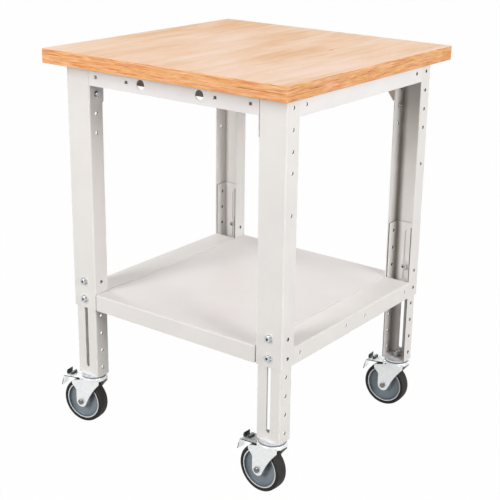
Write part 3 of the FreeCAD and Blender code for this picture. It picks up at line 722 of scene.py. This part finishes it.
def make_lever():
    """Black release lever, with a painted sheen that makes its upward faces grey."""
    look = Shader("lever_finish")
    cloud = look.noise(LEVER_CLOUD, CLOUD_DETAIL)
    upward = look.faces(look.facing_z, edge=0.55, blur=0.2)
    base = look.mix(upward, look.mottle(cloud, LEVER_TONES), look.mottle(cloud, LEVER_SHEEN_TONES))
    return look.finish(Base_Color=base, Roughness=look.vary(cloud, 0.34, 0.46))


def axle_share(look, corner):
    """Distance from a wheel's axle line, as a share of the wheel's radius."""
    low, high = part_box("wheel_hub_" + corner)
    centre = (Vector(low) + Vector(high)) / 2
    return look.from_axle(centre, CASTER_TURN[corner], WHEEL_RADIUS)


def make_hub(corner):
    """Blue-grey moulded hub, with painted light on its boss, painted shade towards the rim wall, and a painted
    highlight on its rim.
    """
    look = Shader("wheel_finish_" + corner)
    cloud = look.noise(PLASTIC_CLOUD, CLOUD_DETAIL)
    share = axle_share(look, corner)
    sideways = look.faces(look.absolute(look.facing_y), edge=0.65, blur=0.15)
    rim = look.times(look.above(share, edge=0.765, blur=0.01), sideways)
    base = look.cover(rim, look.ramp(share, HUB_TONES_LIGHT_AND_SHADE), RIM_HIGHLIGHT_TONE)
    base = look.mix(1.0, base, look.mottle(cloud, HUB_MOTTLE), "MULTIPLY")
    return look.finish(Base_Color=base, Roughness=look.vary(cloud, 0.34, 0.46),
                       Normal=look.peel(HUB_PEEL, *MOULD_BUMP))


def make_tyre(corner):
    """Dark rubber, browner and paler on the tread."""
    look = Shader("tyre_finish_" + corner)
    cloud = look.noise(PLASTIC_CLOUD, CLOUD_DETAIL)
    tread = look.above(axle_share(look, corner), edge=0.95, blur=0.02)
    base = look.mix(tread, look.mottle(cloud, WALL_TONES), look.mottle(cloud, TREAD_TONES))
    return look.finish(Base_Color=base, Roughness=look.vary(cloud, 0.62, 0.76), Specular_IOR_Level=0.25,
                       Normal=look.peel(TYRE_PEEL, *MOULD_BUMP))


# Finishes: those of whole slots, and those of single nodes, which go before them
finishes = {
    "grey_coat": Coat("grey_coat_finish").done(),
    "beech_plywood": make_beech(),
    "zinc": make_zinc("zinc_finish", ZINC_TONES, metal=0.6, rough=0.36),
    "dark_steel": make_zinc("axle_finish", AXLE_TONES, metal=1.0, rough=0.22),
    "bush_plastic": make_bush(),
    "lever_plastic": make_lever(),
}
outer_leg_finish = make_outer_leg()
inner_leg_finish = make_inner_leg()
top_rail_finish = make_top_rail()
stem_finish = make_stem()
stem_nut_finish = make_zinc("stem_nut_finish", STEM_NUT_TONES, metal=0.8, rough=0.36)
pedal_finish = make_pedal()
fastener_finish = make_zinc("fastener_finish", FASTENER_TONES, metal=1.0, rough=0.24)
by_node = {
    "shelf": make_shelf(),
    "front_apron": make_front_apron(),
    "rear_apron": make_rear_apron(),
    "top_rail_right": top_rail_finish,
    "top_rail_left": top_rail_finish,
    "leg_clamp_bolts": make_clamp(),
    "leg_clamp_nuts": make_clamp_nut(),
}
for fastener in ("worktop_screws", "apron_bolts", "apron_nuts", "shelf_bolts", "shelf_nuts"):
    by_node[fastener] = fastener_finish
for corner in CASTER_TURN:
    by_node["outer_leg_" + corner] = outer_leg_finish
    by_node["inner_leg_" + corner] = inner_leg_finish
    by_node["caster_stem_" + corner] = stem_finish
    by_node["caster_stem_nut_" + corner] = stem_nut_finish
    by_node["brake_pedal_" + corner] = pedal_finish
    by_node["wheel_hub_" + corner] = make_hub(corner)
    by_node["tyre_" + corner] = make_tyre(corner)
for part in frame["record"]["subparts"]:
    mesh = nodes[part["node"]].data
    mesh.materials.clear()
    mesh.materials.append(by_node.get(part["node"]) or finishes[part["material_slot"]])


# Small folds and bolts of the frame

def oblong(y_ends, z_ends):
    """Outline of a rectangle in Y and Z."""
    low_y, high_y = sorted(y_ends)
    low_z, high_z = z_ends
    return [(low_y, low_z), (high_y, low_z), (high_y, high_z), (low_y, high_z)]


def circle(middle, radius, count):
    """Outline of a regular polygon in Y and Z."""
    turns = [2 * math.pi * step / count for step in range(count)]
    return [(middle[0] + radius * math.cos(turn), middle[1] + radius * math.sin(turn)) for turn in turns]


def add_piece(name, side, prisms, finish):
    """A piece on one side of the frame, made of prisms along X: an outline and where it starts and ends."""
    corners = []
    sides = []
    for outline, ends in prisms:
        first = len(corners)
        count = len(outline)
        for x in sorted(side * end for end in ends):
            corners += [(x, y, z) for y, z in outline]
        sides.append([first + step for step in reversed(range(count))])
        sides.append([first + count + step for step in range(count)])
        for step in range(count):
            following = (step + 1) % count
            sides.append([first + step, first + following, first + count + following, first + count + step])
    mesh = bpy.data.meshes.new(name)
    mesh.from_pydata(corners, [], sides)
    mesh.materials.append(finish)
    piece = bpy.data.objects.new(name, mesh)
    scene.collection.objects.link(piece)
    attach(piece, "frame")


tab = [(oblong(TAB_Y, TAB_Z), TAB_X)]
tab_bolt = [
    (circle(TAB_BOLT, BOLT_HEX_RADIUS, HEX_SIDES), BOLT_HEAD_X),
    (circle(TAB_BOLT, BOLT_WASHER_RADIUS, WASHER_SIDES), BOLT_WASHER_X),
    (circle(TAB_BOLT, BOLT_HEX_RADIUS, HEX_SIDES), BOLT_NUT_X),
    (circle(TAB_BOLT, BOLT_SHANK_RADIUS, SHANK_SIDES), BOLT_SHANK_X),
]
coat = finishes["grey_coat"]
for side, word in ((1, "right"), (-1, "left")):
    for end, row in ((-1, "front"), (1, "rear")):
        fold = [(oblong([end * y for y in RETURN_Y], RETURN_Z), RETURN_X)]
        add_piece("shelf_return_" + row + "_" + word, side, fold, coat)
    add_piece("gusset_tab_" + word, side, tab, coat)
    add_piece("gusset_bolt_" + word, side, tab_bolt, fastener_finish)


# Stage: floor, world, lamps, camera

def seen_directly(tree):
    """A value that is 1 for rays from the camera, from gloss and through glass, and 0 for diffuse light."""
    path = tree.nodes.new("ShaderNodeLightPath")
    gloss = tree.nodes.new("ShaderNodeMath")
    gloss.operation = "MAXIMUM"
    tree.links.new(path.outputs["Is Glossy Ray"], gloss.inputs[0])
    tree.links.new(path.outputs["Is Transmission Ray"], gloss.inputs[1])
    either = tree.nodes.new("ShaderNodeMath")
    either.operation = "MAXIMUM"
    tree.links.new(path.outputs["Is Camera Ray"], either.inputs[0])
    tree.links.new(gloss.outputs[0], either.inputs[1])
    return either.outputs[0]


def mix_surfaces(tree, output, share, first, second):
    """Lead two surfaces to an output, the second one as far as the share says."""
    mixed = tree.nodes.new("ShaderNodeMixShader")
    tree.links.new(share, mixed.inputs["Fac"])
    tree.links.new(first.outputs[0], mixed.inputs[1])
    tree.links.new(second.outputs[0], mixed.inputs[2])
    tree.links.new(mixed.outputs[0], output.inputs["Surface"])


def make_floor():
    """Pale floor: nearly white where it is seen or mirrored, and grey for bounced light."""
    mesh = bpy.data.meshes.new("floor")
    half = FLOOR_SIZE / 2
    corners = [(x * half, y * half, FLOOR_LEVEL) for x, y in ((-1, -1), (1, -1), (1, 1), (-1, 1))]
    mesh.from_pydata(corners, [], [(0, 1, 2, 3)])
    floor = bpy.data.objects.new("floor", mesh)
    scene.collection.objects.link(floor)
    material = bpy.data.materials.new("floor_finish")
    material.use_nodes = True
    tree = material.node_tree
    tree.nodes.clear()
    output = tree.nodes.new("ShaderNodeOutputMaterial")
    matt = tree.nodes.new("ShaderNodeBsdfDiffuse")
    matt.inputs["Color"].default_value = FLOOR_GREY
    glow = tree.nodes.new("ShaderNodeEmission")
    share = tree.nodes.new("ShaderNodeMath")
    share.operation = "MULTIPLY"
    share.inputs[1].default_value = FLOOR_GLOW
    tree.links.new(seen_directly(tree), share.inputs[0])
    mix_surfaces(tree, output, share.outputs[0], matt, glow)
    mesh.materials.append(material)


def make_world():
    """Even, slightly warm studio light, seen as plain white by the camera and by reflections."""
    world = bpy.data.worlds.new("studio")
    scene.world = world
    world.use_nodes = True
    tree = world.node_tree
    tree.nodes.clear()
    output = tree.nodes.new("ShaderNodeOutputWorld")
    light = tree.nodes.new("ShaderNodeBackground")
    light.inputs["Color"].default_value = WORLD_COLOUR
    light.inputs["Strength"].default_value = WORLD_STRENGTH
    backdrop = tree.nodes.new("ShaderNodeBackground")
    backdrop.inputs["Color"].default_value = BACKDROP_COLOUR
    mix_surfaces(tree, output, seen_directly(tree), light, backdrop)


def make_lamp(name, place, power):
    data = bpy.data.lights.new(name, "AREA")
    data.shape = "DISK"
    data.size = LAMP_SIZE
    data.energy = power
    lamp = bpy.data.objects.new(name, data)
    scene.collection.objects.link(lamp)
    lamp.location = place
    lamp.rotation_mode = "QUATERNION"
    lamp.rotation_quaternion = (Vector(LAMP_AIM) - Vector(place)).to_track_quat("-Z", "Y")


def make_camera():
    yaw = math.radians(CAMERA_YAW)
    pitch = math.radians(CAMERA_PITCH)
    roll = math.radians(CAMERA_ROLL)
    forward = Vector((math.sin(yaw) * math.cos(pitch), math.cos(yaw) * math.cos(pitch), -math.sin(pitch)))
    right = forward.cross(Vector((0, 0, 1))).normalized()
    up = right.cross(forward)
    across = right * math.cos(roll) + up * math.sin(roll)
    upright = up * math.cos(roll) - right * math.sin(roll)
    data = bpy.data.cameras.new("camera")
    data.lens = CAMERA_LENS
    data.sensor_width = CAMERA_SENSOR
    data.shift_x, data.shift_y = CAMERA_SHIFT
    data.clip_end = CAMERA_REACH
    camera = bpy.data.objects.new("camera", data)
    scene.collection.objects.link(camera)
    turn = Matrix((across, upright, -forward)).transposed().to_4x4()
    camera.matrix_world = Matrix.Translation(CAMERA_PLACE) @ turn
    scene.camera = camera


make_floor()
make_world()
for lamp_name, (lamp_place, lamp_power) in LAMPS.items():
    make_lamp(lamp_name, lamp_place, lamp_power)
make_camera()
scene.view_settings.view_transform = "Standard"
